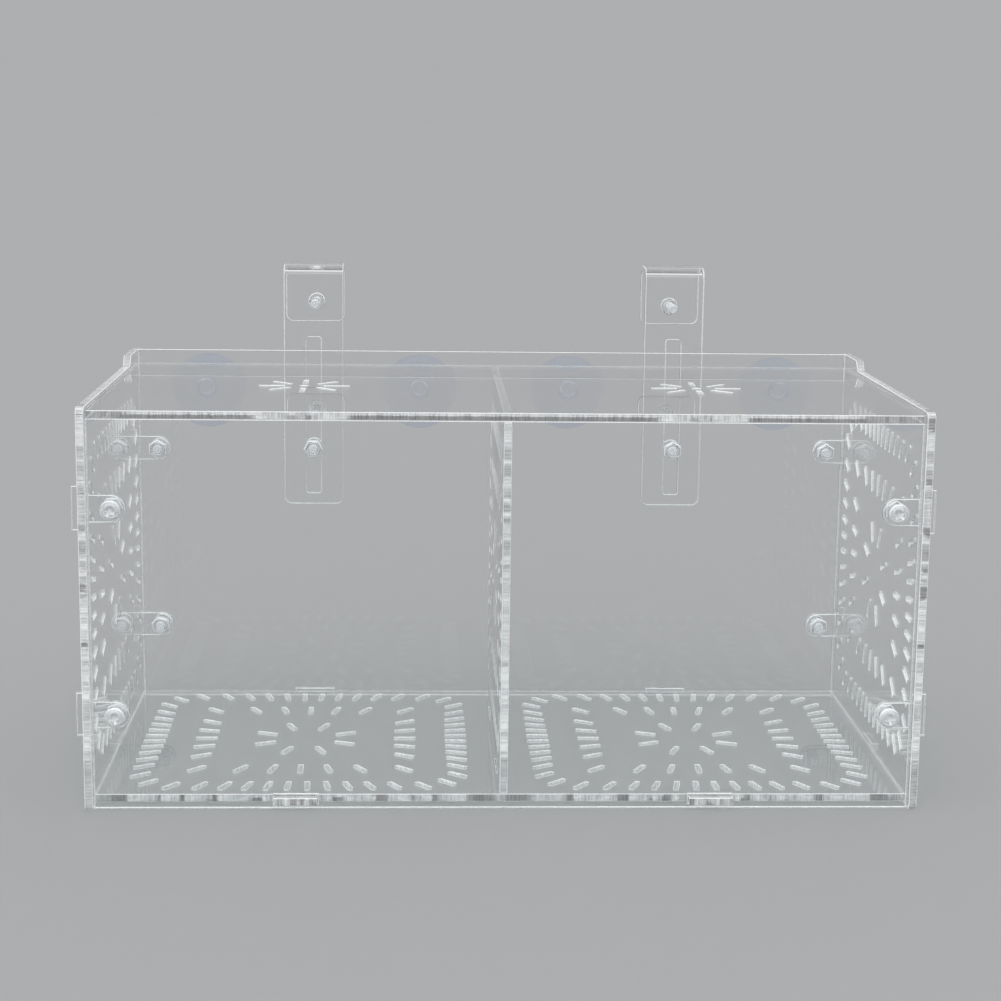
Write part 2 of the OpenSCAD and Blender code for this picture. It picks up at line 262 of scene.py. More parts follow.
# A finish whose marks come from a group, and whose other values are plain ones of the shader
def makeFinish(name, group, marks, values, shadow):
    material, tree = newMaterial(name)
    if group == laserCut:
        place = addNode(tree, "ShaderNodeAttribute", attribute_name="sheetPlace").outputs["Vector"]
    else:
        place = addNode(tree, "ShaderNodeTexCoord").outputs["Object"]
    marked = addNode(tree, "ShaderNodeGroup", {"Place": place, **marks}, node_tree=group).outputs
    shader = made(tree, "ShaderNodeBsdfPrincipled", {**values, **{socket.name: socket for socket in marked}})
    addNode(tree, "ShaderNodeOutputMaterial", {"Surface": passLight(tree, shader, shadow)})
    return material


acrylicIndex, plasticIndex, vinylIndex = 1.49, 1.5, 1.42

# Polished faces of the clear sheet
sheetFace = makeFinish("clearSheetFace", handled, {"Most Roughness": 0.02}, {
    "Base Color": (0.991, 0.994, 0.996, 1), "Transmission Weight": 1, "IOR": acrylicIndex},
    (0.95, 0.96, 0.96, 1))

# Laser-cut edges: glassy, with fine lines across them
cutEdge = makeFinish("laserCutEdge", laserCut, {}, {"Transmission Weight": 0.62, "IOR": acrylicIndex},
                     (0.88, 0.9, 0.9, 1))

# The eased rim along each cut, given a near-white frosted finish: a painted highlight along every outline
cutRimHighlight = makeFinish("laserCutRimHighlight", laserCut, {
    "Dull": (0.9, 0.92, 0.93, 1), "Bright": (1, 1, 1, 1), "Band Width": 5 * mm, "Line Width": 1 * mm,
    "Least Roughness": 0.2, "Most Roughness": 0.35}, {"Transmission Weight": 0.1, "IOR": acrylicIndex},
    (0.85, 0.87, 0.87, 1))

# Walls of the vents, given a whiter, more frosted finish than the other cut edges: a painted highlight for
# bright slot walls
ventWallHighlight = makeFinish("laserCutVentHighlight", laserCut, {
    "Dull": (0.86, 0.89, 0.9, 1), "Bright": (1, 1, 1, 1), "Band Width": 3 * mm, "Least Roughness": 0.15,
    "Most Roughness": 0.35}, {"Transmission Weight": 0.25, "IOR": acrylicIndex}, (0.8, 0.82, 0.82, 1))


# Smooth moulded plastic
def makePlastic(name, clearness):
    return makeFinish(name, handled, {
        "Smear Size": 2 * mm, "Most Roughness": 0.05, "Wave Size": 2 * mm, "Wave Depth": 0.005 * mm}, {
        "Base Color": (0.96, 0.97, 0.975, 1), "Transmission Weight": clearness, "IOR": plasticIndex},
        (0.85, 0.86, 0.87, 1))


nutPlastic = makePlastic("clearMouldedPlastic", 1)
screwPlastic = makePlastic("milkyMouldedPlastic", 0.8)

# Threads, which look cloudy
threadPlastic = makeFinish("cloudyThread", handled, {
    "Smear Size": 1 * mm, "Least Roughness": 0.25, "Most Roughness": 0.5, "Wave Size": 0.5 * mm,
    "Wave Depth": 0.05 * mm}, {
    "Base Color": (0.93, 0.94, 0.965, 1), "Transmission Weight": 0.35, "IOR": plasticIndex},
    (0.75, 0.76, 0.77, 1))

# Rims and recesses of screws and nuts, given a whiter frosted finish as a painted highlight where they would
# catch the light
plasticRimHighlight = makeFinish("mouldedRimHighlight", handled, {
    "Smear Size": 1 * mm, "Least Roughness": 0.15, "Most Roughness": 0.3, "Wave Size": 0.5 * mm,
    "Wave Depth": 0.02 * mm}, {
    "Base Color": (0.98, 0.99, 1, 1), "Transmission Weight": 0.15, "IOR": plasticIndex},
    (0.75, 0.76, 0.77, 1))

# Soft vinyl of the suction cups, clear with a blue cast
softVinyl = makeFinish("softClearVinyl", handled, {
    "Smear Size": 8 * mm, "Most Roughness": 0.03, "Wave Size": 9 * mm, "Wave Depth": 0.02 * mm}, {
    "Base Color": (0.85, 0.89, 0.99, 1), "Transmission Weight": 1, "IOR": vinylIndex},
    (0.92, 0.94, 0.98, 1))
print("materials made")


sheet = {
    "thickness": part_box("front_panel")[1].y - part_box("front_panel")[0].y,
    "arris": 0.24 * mm,  # how far each corner of the sheet is eased
    "airGap": 0.03 * mm,  # air left between faces that touch
    "cutPlay": 0.1 * mm,
    "arcPoints": 9,  # points on each quarter of a slot's round ends
}
thickness = sheet["thickness"]

# Three rings of slots, like rays from a sun
vents = {
    "slotLength": 8 * mm, "slotWidth": 1.6 * mm, "slotCorner": 0.2 * mm, "cornerPoints": 2,
    "innerRing": 15.4 * mm, "ringStep": 20 * mm, "cornerPull": 4 * mm, "counts": (8, 24, 52),
    "marginWidth": 14 * mm, "marginDepth": 10.4 * mm, "marginHeight": 13.2 * mm,
}
slotSizes = {"Slot Length": (number, vents["slotLength"]), "Slot Width": (number, vents["slotWidth"]),
             "Slot Corner": (number, vents["slotCorner"])}


# One ring of slot outlines that point away from the middle
def buildSlotRing():
    tree, given, result = newGroup("slotRing", "GeometryNodeTree", {
        "Count": ("NodeSocketInt", 8), "Start Angle": (number, 0.0), "Half Width": (number, 20 * mm),
        "Half Height": (number, 20 * mm), "Corner Pull": (number, 0.0), "Squareness": (number, 1.0),
        **slotSizes}, {"Slots": (geometry, None)})
    index = made(tree, "GeometryNodeInputIndex")
    step = maths(tree, "DIVIDE", 2 * math.pi, given["Count"])
    angle = maths(tree, "MULTIPLY_ADD", index, step, given["Start Angle"])
    cosine = maths(tree, "COSINE", angle)
    sine = maths(tree, "SINE", angle)
    flatCosine = maths(tree, "ABSOLUTE", cosine)
    flatSine = maths(tree, "ABSOLUTE", sine)
    beyond = maths(tree, "SUBTRACT", maths(tree, "MAXIMUM", flatCosine, flatSine), 1)
    reach = maths(tree, "MULTIPLY_ADD", given["Squareness"], beyond, 1)
    alike = 0.001  # the slots on the diagonals have a sine and a cosine this close
    diagonal = maths(tree, "COMPARE", flatCosine, flatSine, alike)
    pull = maths(tree, "MULTIPLY", diagonal, given["Corner Pull"])

    def spread(wave, halfSize):
        size = maths(tree, "SUBTRACT", given[halfSize], pull)
        return maths(tree, "MULTIPLY", maths(tree, "DIVIDE", wave, reach), size)

    place = combine(tree, X=spread(cosine, "Half Width"), Y=spread(sine, "Half Height"))
    points = made(tree, "GeometryNodePoints", {"Count": given["Count"], "Position": place})
    here = separate(tree, made(tree, "GeometryNodeInputPosition"))
    outward = combine(tree, Z=maths(tree, "ARCTAN2", here["Y"], here["X"]))
    oblong = made(tree, "GeometryNodeCurvePrimitiveQuadrilateral", {
        "Width": given["Slot Length"], "Height": given["Slot Width"]})
    rounded = made(tree, "GeometryNodeFilletCurve", {
        "Curve": oblong, "Count": vents["cornerPoints"], "Limit Radius": True,
        "Radius": given["Slot Corner"]}, mode="POLY")
    slots = made(tree, "GeometryNodeInstanceOnPoints", {
        "Points": points, "Instance": rounded, "Rotation": outward})
    setSocket(tree, result["Slots"], slots)
    return tree


slotRing = buildSlotRing()


# The outlines of a vent's rings and of its middle hole, stamped on the loose points of the outline
def addVents(tree, given, rings, holeDiameter):
    pattern = []
    for ring, values in rings.items():
        inputs = {label: given[f"{ring} {label}"] for label in values}
        inputs.update({label: given[label] for label in slotSizes})
        pattern.append(made(tree, "GeometryNodeGroup", inputs, node_tree=slotRing))
    if holeDiameter:
        pattern.append(made(tree, "GeometryNodeCurvePrimitiveCircle", {
            "Resolution": 4 * sheet["arcPoints"],
            "Radius": maths(tree, "DIVIDE", given["Hole Diameter"], 2)}))
    neighbours = made(tree, "GeometryNodeInputMeshVertexNeighbors")  # a loose point has none
    stamped = made(tree, "GeometryNodeInstanceOnPoints", {
        "Points": given["Outline"], "Selection": maths(tree, "LESS_THAN", neighbours, 0.5),
        "Instance": made(tree, "GeometryNodeGeometryToInstance", {0: joinParts(tree, *pattern)})})
    return made(tree, "GeometryNodeRealizeInstances", {0: stamped})


# Cuts a sheet from closed outlines in the XY plane. Loose points mark the vents' centres.
def buildSheetTree(name, rings, holeDiameter):
    ringSizes = {f"{ring} {label}": ("NodeSocketInt" if label == "Count" else number, value)
                 for ring, values in rings.items() for label, value in values.items()}
    finishes = {f"{part} Material": ("NodeSocketMaterial", None) for part in ("Face", "Edge", "Rim", "Vent")}
    tree, given, result = newGroup(name, "GeometryNodeTree", {
        "Outline": (geometry, None), "Thickness": (number, thickness), "Arris": (number, sheet["arris"]),
        "Air Gap": (number, sheet["airGap"]), "Hole Diameter": (number, holeDiameter),
        **slotSizes, **finishes, **ringSizes}, {"Sheet": (geometry, None)})

    def paint(part, finish, **selection):
        return made(tree, "GeometryNodeSetMaterial", {
            "Geometry": part, "Material": given[f"{finish} Material"], **selection})

    curves = [made(tree, "GeometryNodeMeshToCurve", {"Mesh": given["Outline"]})]
    if rings:
        ventCurves = addVents(tree, given, rings, holeDiameter)
        curves.append(ventCurves)
    allLines = made(tree, "GeometryNodeCurveToMesh", {"Curve": joinParts(tree, *curves)})
    loops = made(tree, "GeometryNodeMergeByDistance", {"Geometry": allLines, "Distance": tiny})
    filled = made(tree, "GeometryNodeFillCurve", {
        "Curve": made(tree, "GeometryNodeMeshToCurve", {"Mesh": loops})}, mode="TRIANGLES")
    raised = addNode(tree, "GeometryNodeExtrudeMesh", {
        "Mesh": filled, "Offset Scale": given["Thickness"], "Individual": False}, mode="FACES").outputs
    walls = made(tree, "GeometryNodeSeparateGeometry", {
        "Geometry": raised["Mesh"], "Selection": raised["Side"]}, domain="FACE")

    position = made(tree, "GeometryNodeInputPosition")
    outward = made(tree, "GeometryNodeInputNormal")
    share = maths(tree, "DIVIDE", separate(tree, position)["Z"], given["Thickness"])
    foot = given["Air Gap"]
    top = maths(tree, "SUBTRACT", given["Thickness"], foot)
    lowShoulder = maths(tree, "ADD", foot, given["Arris"])
    highShoulder = maths(tree, "SUBTRACT", top, given["Arris"])

    # A band of the walls between two heights, with one row drawn in by the arris
    def band(low, high, inset):
        height = maths(tree, "MULTIPLY_ADD", share, maths(tree, "SUBTRACT", high, low), low)
        depth = maths(tree, "MULTIPLY_ADD", inset, given["Arris"], foot)
        drawn = made(tree, "ShaderNodeVectorMath", {
            0: outward, "Scale": maths(tree, "MULTIPLY", depth, -1)}, operation="SCALE")
        flat = separate(tree, vectorMaths(tree, "ADD", position, drawn))
        place = combine(tree, X=flat["X"], Y=flat["Y"], Z=height)
        return made(tree, "GeometryNodeSetPosition", {"Geometry": walls, "Position": place})

    lower = band(foot, lowShoulder, maths(tree, "SUBTRACT", 1, share))
    middle = band(lowShoulder, highShoulder, 0.0)
    upper = band(highShoulder, top, share)
    # The rows along the arrises take the rim finish, a painted highlight
    rims = paint(joinParts(tree, lower, upper), "Rim")
    cutSides = paint(middle, "Edge")
    if rings:  # walls that start close to a vent's lines are the vent's own
        plan = vectorMaths(tree, "MULTIPLY", position, (1, 1, 0))
        ventLines = made(tree, "GeometryNodeCurveToMesh", {"Curve": ventCurves})
        distance = addNode(tree, "GeometryNodeProximity", {
            0: ventLines, "Sample Position": plan}, target_element="EDGES").outputs["Distance"]
        # the vents' walls take the whiter vent finish, a painted highlight
        cutSides = paint(cutSides, "Vent", Selection=maths(tree, "LESS_THAN", distance, 2 * sheet["arris"]))

    # The lowest row of the walls is the rim of both faces
    nearFoot = 0.25  # share of the arris
    lowest = maths(tree, "MULTIPLY_ADD", given["Arris"], nearFoot, foot)
    isFoot = maths(tree, "LESS_THAN", separate(tree, position)["Z"], lowest)
    rim = made(tree, "GeometryNodeMeshToCurve", {"Mesh": lower, "Selection": isFoot})
    face = made(tree, "GeometryNodeFillCurve", {"Curve": rim}, mode="TRIANGLES")
    under = made(tree, "GeometryNodeFlipFaces", {"Mesh": face})
    faces = paint(joinParts(tree, *[made(tree, "GeometryNodeTransform", {
        "Geometry": part, "Translation": combine(tree, Z=height)})
        for part, height in ((under, foot), (face, top))]), "Face")

    welded = made(tree, "GeometryNodeMergeByDistance", {
        "Geometry": joinParts(tree, rims, cutSides, faces), "Distance": tiny})
    stored = made(tree, "GeometryNodeStoreNamedAttribute", {
        "Geometry": welded, "Name": "sheetPlace", "Value": position},
        data_type="FLOAT_VECTOR", domain="POINT")
    setSocket(tree, result["Sheet"], made(tree, "GeometryNodeRealizeInstances", {0: stored}))
    return tree


def ringValues(count, halfStep, halfWidth, halfHeight, pull=0.0, squareness=1.0):
    return {"Count": count, "Start Angle": math.pi / count if halfStep else 0.0, "Half Width": halfWidth,
            "Half Height": halfHeight, "Corner Pull": pull, "Squareness": squareness}


# The three rings of a vent pattern whose outer ring has these half sizes
def sunburstRings(halfWidth, halfHeight):
    inner, middle, outer = vents["counts"]
    first, step = vents["innerRing"], vents["ringStep"]
    return {"Inner": ringValues(inner, True, first, first),
            "Middle": ringValues(middle, False, halfWidth - step, halfHeight - step),
            "Outer": ringValues(outer, True, halfWidth, halfHeight, vents["cornerPull"])}


def rectangle(x0, y0, x1, y1):
    return [(x0, y0), (x1, y0), (x1, y1), (x0, y1)]


def arc(x, y, radius, start, end, count):
    angles = [math.radians(start + (end - start) * i / count) for i in range(count + 1)]
    return [(x + radius * math.cos(angle), y + radius * math.sin(angle)) for angle in angles]


def circle(x, y, diameter):
    return arc(x, y, diameter / 2, 0, 360, 4 * sheet["arcPoints"])[:-1]


def roundedRectangle(x0, y0, x1, y1, radius):
    centres = rectangle(x0 + radius, y0 + radius, x1 - radius, y1 - radius)
    points = []
    for (x, y), start in zip(centres, (180, 270, 0, 90)):
        points += arc(x, y, radius, start, start + 90, sheet["arcPoints"])
    return points


# Rounds the corners of an outline, each by its own radius
def roundCorners(loop, radii):
    points = []
    count = sheet["arcPoints"]
    for i, (corner, radius) in enumerate(zip(loop, radii)):
        if radius == 0:
            points.append(corner)
            continue
        here = Vector(corner)
        before = (Vector(loop[i - 1]) - here).normalized()
        after = (Vector(loop[(i + 1) % len(loop)]) - here).normalized()
        half = before.angle(after) / 2
        centre = here + (before + after).normalized() * radius / math.sin(half)
        start = here + before * radius / math.tan(half) - centre
        end = here + after * radius / math.tan(half) - centre
        spokes = [start.slerp(end, step / count).normalized() for step in range(count + 1)]
        points += [tuple(centre + spoke * radius) for spoke in spokes]
    return points


# A sheet's own X, Y and thickness turned to the box's axes
def upright(y):
    return Matrix.Translation((0, y, 0)) @ Matrix(((1, 0, 0), (0, 0, -1), (0, 1, 0))).to_4x4()


def sideways(x):
    return Matrix.Translation((x, 0, 0)) @ Matrix(((0, 0, 1), (1, 0, 0), (0, 1, 0))).to_4x4()


def level(z):
    return Matrix.Translation((0, 0, z))


# loops are closed outlines, and marks are the vents' centres
def cutSheet(name, tree, loops, marks=(), slotLength=vents["slotLength"]):
    points, edges = [], []
    for loop in loops:
        first = len(points)
        points += [(x, y, 0) for x, y in loop]
        edges += [(first + i, first + (i + 1) % len(loop)) for i in range(len(loop))]
    points += [(x, y, 0) for x, y in marks]
    mesh = bpy.data.meshes.new(name)
    mesh.from_pydata(points, edges, [])
    obj = newObject(name, mesh)
    runTree(obj, tree, {"Face Material": sheetFace, "Edge Material": cutEdge, "Rim Material": cutRimHighlight,
                        "Vent Material": ventWallHighlight, "Slot Length": slotLength})
    return obj


def placeSheet(obj, matrix, node):
    obj.data.transform(matrix)
    finishMesh(obj.data)
    fit(obj, node)


# Faces that the box's pieces share, read from the frame
frontLow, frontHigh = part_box("front_panel")
backLow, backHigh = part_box("back_panel")
sideLow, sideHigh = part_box("left_side_panel")
floorLow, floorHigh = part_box("floor_panel")
dividerLow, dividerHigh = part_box("divider")
lidLow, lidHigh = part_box("lid")
innerX = frontHigh.x
innerFront, innerBack = frontHigh.y, backLow.y
floorMiddle = (floorLow.z + floorHigh.z) / 2
middleHeight = (floorLow.z + lidLow.z) / 2
chamberX = (innerX + thickness) / 2  # middle of the right chamber
ringWidth = (innerX - thickness / 2) / 2 - vents["marginWidth"]
ringDepth = (innerBack - innerFront) / 2 - vents["marginDepth"]
ringHeight = (lidLow.z - floorHigh.z) / 2 - vents["marginHeight"]

clip = {"shankHeight": 10 * mm, "reach": 8 * mm, "pitch": 75 * mm}
tabs = {"width": 16 * mm, "dividerPitch": 70 * mm}
holes = {"screw": 4.2 * mm, "cup": 5.2 * mm}

clipX = innerX - clip["reach"]
clipHeights = [middleHeight + clip["pitch"] / 2, middleHeight - clip["pitch"] / 2]
cupNodes = ("left_outer_cup", "left_inner_cup", "right_inner_cup", "right_outer_cup")
cupCentres = {node: middleOf(node) for node in cupNodes}
hangerX = {node: middleOf(node).x for node in ("left_hanger", "right_hanger")}

plainTree = buildSheetTree("plainSheet", {}, 0)
sideTree = buildSheetTree("sideSheet", sunburstRings(ringDepth, ringHeight), 0)
floorTree = buildSheetTree("floorSheet", sunburstRings(ringWidth, ringDepth), 0)


# A rectangular hole for a tab, with the play left round it
def tabHole(x, y, width, height):
    halfWidth, halfHeight = width / 2 + sheet["cutPlay"], height / 2 + sheet["cutPlay"]
    return rectangle(x - halfWidth, y - halfHeight, x + halfWidth, y + halfHeight)


# Outline of tabs that reach from an edge at base to tip
def tabOutline(middles, base, tip):
    half = tabs["width"] / 2
    points = []
    for x in middles:
        points += [(x - half, base), (x - half, tip), (x + half, tip), (x + half, base)]
    return points


def endHoles():
    loops = []
    for sign in (-1, 1):
        loops += [circle(sign * clipX, z, holes["screw"]) for z in clipHeights]
        loops.append(tabHole(sign * chamberX, floorMiddle, tabs["width"], thickness))
    return loops


def makeEndPanels():
    front = [rectangle(-innerX, 0, innerX, frontHigh.z)] + endHoles()
    placeSheet(cutSheet("frontPanel", plainTree, front), upright(frontHigh.y), "front_panel")
    back = [rectangle(-innerX, 0, innerX, backHigh.z)] + endHoles()
    back += [circle(x, clipHeights[0], holes["screw"]) for x in hangerX.values()]
    back += [circle(centre.x, centre.z, holes["cup"]) for centre in cupCentres.values()]
    placeSheet(cutSheet("backPanel", plainTree, back), upright(backHigh.y), "back_panel")


side = {"cornerLength": 27 * mm, "cornerRise": 4 * mm, "corner": 2.5 * mm, "stepCorner": 1.2 * mm}


def makeSidePanels():
    y0, y1, top = sideLow.y, sideHigh.y, sideHigh.z
    shoulder = top - side["cornerRise"]
    slope = y1 - side["cornerLength"]
    outline = [(y0, 0), (y1, 0), (y1, top), (slope, top), (slope - side["cornerRise"], shoulder),
               (y0, shoulder)]
    corner, step = side["corner"], side["stepCorner"]
    loops = [roundCorners(outline, (corner, corner, corner, step, 0, corner))]
    for y in (innerFront + thickness / 2, innerBack - thickness / 2):
        loops += [tabHole(y, z, thickness, clip["shankHeight"]) for z in clipHeights]
    loops.append(tabHole(0, floorMiddle, tabs["width"], thickness))
    for node, x in (("left_side_panel", sideLow.x), ("right_side_panel", innerX)):
        panel = cutSheet(pieceName(node), sideTree, loops, [(0, middleHeight)])
        placeSheet(panel, sideways(x), node)


def makeFloor():
    reach, half = floorHigh.x, tabs["width"] / 2
    outline = [(-innerX, innerFront)] + tabOutline((-chamberX, chamberX), innerFront, floorLow.y)
    outline += [(innerX, innerFront), (innerX, -half), (reach, -half), (reach, half), (innerX, half)]
    outline += [(-x, -y) for x, y in outline]  # the rear half is the front half turned round
    loops = [outline]
    loops += [tabHole(0, sign * tabs["dividerPitch"] / 2, thickness, tabs["width"]) for sign in (-1, 1)]
    floor = cutSheet("floorPanel", floorTree, loops, [(-chamberX, 0), (chamberX, 0)])
    placeSheet(floor, level(floorLow.z), "floor_panel")


def makeDivider():
    y0, y1, top = dividerLow.y, dividerHigh.y, dividerHigh.z
    half = tabs["dividerPitch"] / 2
    outline = [(y0, floorHigh.z)] + tabOutline((-half, half), floorHigh.z, dividerLow.z)
    outline += [(y1, floorHigh.z), (y1, top), (y0, top)]
    divider = cutSheet("dividerSheet", sideTree, [outline], [(0, middleHeight)])
    placeSheet(divider, sideways(dividerLow.x), "divider")


lid = {"ventReach": 17 * mm, "slotLength": 9.5 * mm, "hole": 3 * mm, "rays": 8}


def makeLid():
    ray = lid["ventReach"] - lid["slotLength"] / 2
    rays = ringValues(lid["rays"], False, ray, ray, squareness=0.0)
    tree = buildSheetTree("lidSheet", {"Ray": rays}, lid["hole"])
    centre = (lidLow.y + innerBack) / 2
    obj = cutSheet("lidPanel", tree, [rectangle(lidLow.x, lidLow.y, lidHigh.x, lidHigh.y)],
                   [(-chamberX, centre), (chamberX, centre)], lid["slotLength"])
    paintedHighlightIndex = obj.data.materials.find(ventWallHighlight.name)
    facesBack = 0.9
    for face in obj.data.polygons:  # the rear edge gets the vents' whiter finish, a painted highlight for the light that the rear wall would catch from above and behind
        if face.normal.y > facesBack and face.center.y > lidHigh.y - sheet["arris"]:
            face.material_index = paintedHighlightIndex
    placeSheet(obj, level(lidLow.z), "lid")


def makeClips():
    shank = clip["shankHeight"] / 2
    head = innerX + thickness
    for sideName, sign in (("left", -1), ("right", 1)):
        for end, y in (("front", innerFront + thickness), ("back", innerBack)):
            for height, z in zip(("upper", "lower"), clipHeights):
                node = f"{sideName}_{end}_{height}_clip"
                low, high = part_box(node)
                outer = max(abs(low.x), abs(high.x))
                shape = [(head, z - shank), (head, low.z), (outer, low.z), (outer, high.z), (head, high.z),
                         (head, z + shank)]
                shape += arc(clipX, z, shank, 90, 270, 2 * sheet["arcPoints"])
                loops = [[(sign * x, across) for x, across in loop]
                         for loop in (shape, circle(clipX, z, holes["screw"]))]
                placeSheet(cutSheet(pieceName(node), plainTree, loops), upright(y), node)


makeEndPanels()
makeSidePanels()
makeFloor()
makeDivider()
makeLid()
makeClips()
print("sheets cut")


hanger = {
    "bendRadius": 2 * mm, "bendSteps": 10, "corner": 3 * mm, "flapHeight": 25 * mm, "clampDrop": 17.5 * mm,
    "slotWidth": 6 * mm, "slotLength": 65 * mm, "slotFoot": 5 * mm, "slotCorner": 1 * mm, "sharpFrom": 30,
}


# Creases the flat strip across where it bends, so that it can be rolled
def creaseStrip(work, starts, bend):
    for start in starts:
        for step in range(hanger["bendSteps"] + 1):
            at = (0, start + bend * step / hanger["bendSteps"], 0)
            bmesh.ops.bisect_plane(work, geom=work.verts[:] + work.edges[:] + work.faces[:],
                                   plane_co=at, plane_no=(0, 1, 0), dist=tiny)


# Each hanger is cut flat, then bent twice over a hot wire
def makeHangers():
    for node, x in hangerX.items():
        low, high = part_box(node)
        width = high.x - low.x
        inner = hanger["bendRadius"]
        outer = inner + thickness
        neutral = (inner + outer) / 2
        bend = neutral * math.pi / 2
        plate = high.z - outer - low.z  # the flat lengths between the bends
        bridge = (high.y - low.y) - 2 * outer
        flap = hanger["flapHeight"] - outer
        bridgeStart, bridgeEnd = plate + bend, plate + bend + bridge
        flapStart = plate + 2 * bend + bridge
        outline = roundedRectangle(-width / 2, 0, width / 2, flapStart + flap, hanger["corner"])
        slotHalf, slotFoot = hanger["slotWidth"] / 2, hanger["slotFoot"]
        slot = roundedRectangle(-slotHalf, slotFoot, slotHalf, slotFoot + hanger["slotLength"],
                                hanger["slotCorner"])
        screwHole = circle(0, flapStart + hanger["clampDrop"] - outer, holes["screw"])
        obj = cutSheet(pieceName(node), plainTree, [outline, slot, screwHole])

        work = bmesh.new()
        work.from_mesh(obj.data)
        creaseStrip(work, (plate, bridgeEnd), bend)
        for vert in work.verts:
            along, depth = vert.co.y, thickness - vert.co.z  # depth is measured from the outer face
            radius = outer - depth
            if along <= plate:
                y, z = low.y + depth, low.z + along
            elif along < bridgeStart:
                turn = (along - plate) / neutral
                y, z = low.y + outer - radius * math.cos(turn), high.z - outer + radius * math.sin(turn)
            elif along <= bridgeEnd:
                y, z = low.y + outer + along - bridgeStart, high.z - depth
            elif along < flapStart:
                turn = (along - bridgeEnd) / neutral
                y, z = high.y - outer + radius * math.sin(turn), high.z - outer + radius * math.cos(turn)
            else:
                y, z = high.y - depth, high.z - outer - (along - flapStart)
            vert.co = (x + vert.co.x, y, z)
        work.to_mesh(obj.data)
        work.free()
        finishMesh(obj.data, hanger["sharpFrom"])
        fit(obj, node)


makeHangers()
print("hangers bent")


screw = {
    "diameter": 4 * mm, "pitch": 0.7 * mm, "threadDepth": 0.36 * mm, "tipShare": 1.2, "crestShare": 3.2,
    "tipFade": 0.8 * mm, "neckFade": 0.5 * mm,  # where the thread runs out
    "headDiameter": 7.2 * mm, "headHeight": 2.6 * mm, "sideHeight": 0.9 * mm, "crownWidth": 1.6 * mm,
    "underEase": 0.3 * mm, "crossWidth": 1 * mm, "crossLength": 4 * mm, "crossDepth": 1.4 * mm,
    "crossOver": 0.15 * mm, "crossTop": (1.06, 1), "crossFloor": (0.4, 0.8),  # shares of its length and width
    "rimWidth": 0.35 * mm, "recessMargin": 0.1 * mm, "topMargin": 0.05 * mm,  # for the faces with the painted highlight
    "around": 28, "rowsPerTurn": 6, "sharpFrom": 40,
}
nut = {
    "flats": 7 * mm, "thickness": 3.2 * mm, "hole": 4.2 * mm, "countersink": 5.1 * mm, "rimWidth": 0.5 * mm,
    "turnedHeight": 0.27 * mm, "turnedWidth": 0.15 * mm, "turnedReach": 1.02, "turnedAround": 64,
    "drillOver": 0.2 * mm, "drillAround": 48, "sharpFrom": 25,
    "cloudyMargin": 0.05 * mm, "rimMargin": 0.2 * mm, "rimSlope": (0.2, 0.95),  # for the cloudy faces and the faces with the painted highlight
}
cornerSteps = 6  # rows on a quarter turn of a crown or a shoulder


# A closed surface of revolution about Z from (radius, height) rows; radius may depend on the angle
def turnedMesh(name, rows, around):
    work = bmesh.new()
    rings = []
    for radius, height in rows:
        if radius == 0:
            rings.append([work.verts.new((0, 0, height))])
            continue
        ring = []
        for i in range(around):
            angle = 2 * math.pi * i / around
            reach = radius(angle, height) if callable(radius) else radius
            ring.append(work.verts.new((reach * math.cos(angle), reach * math.sin(angle), height)))
        rings.append(ring)
    for lower, upper in zip(rings, rings[1:]):
        for i in range(around):
            j = (i + 1) % around
            if len(lower) == 1:
                work.faces.new((lower[0], upper[j], upper[i]))
            elif len(upper) == 1:
                work.faces.new((lower[i], lower[j], upper[0]))
            else:
                work.faces.new((lower[i], lower[j], upper[j], upper[i]))
    bmesh.ops.recalc_face_normals(work, faces=work.faces)
    mesh = bpy.data.meshes.new(name)
    work.to_mesh(mesh)
    work.free()
    return mesh


# Marks the faces that a test picks, such as those that a thread makes cloudy
def markFaces(mesh, label, test):
    picked = mesh.attributes.new(label, "BOOLEAN", "FACE")
    picked.data.foreach_set("value", [test(face.center, face.normal) for face in mesh.polygons])


def carve(obj, tool, operation):
    modifier = obj.modifiers.new("carve", "BOOLEAN")
    modifier.operation = operation
    modifier.solver = "EXACT"
    modifier.object = tool
    applyModifiers(obj)
    bpy.data.objects.remove(tool)


# Radius of a thread's surface, which winds once round in each pitch
def threadRadius(angle, height, fade):
    turn = (height / screw["pitch"] - angle / (2 * math.pi)) % 1
    slope = screw["crestShare"]
    crest = min(1, max(0, slope * (0.5 - abs(turn - 0.5))))
    return screw["diameter"] / 2 - screw["threadDepth"] * (1 - crest * fade)


# One arm of the cross recess, which narrows towards its floor
def crossArm(turn):
    work = bmesh.new()
    bmesh.ops.create_cube(work, size=1)
    for vert in work.verts:
        deep = vert.co.z < 0
        lengthShare, widthShare = screw["crossFloor"] if deep else screw["crossTop"]
        vert.co.x *= screw["crossLength"] * lengthShare
        vert.co.y *= screw["crossWidth"] * widthShare
        vert.co.z = screw["headHeight"] + (-screw["crossDepth"] if deep else screw["crossOver"])
    work.transform(Matrix.Rotation(math.radians(turn), 4, "Z"))
    mesh = bpy.data.meshes.new("crossArm")
    work.to_mesh(mesh)
    work.free()
    return newObject("crossArm", mesh)


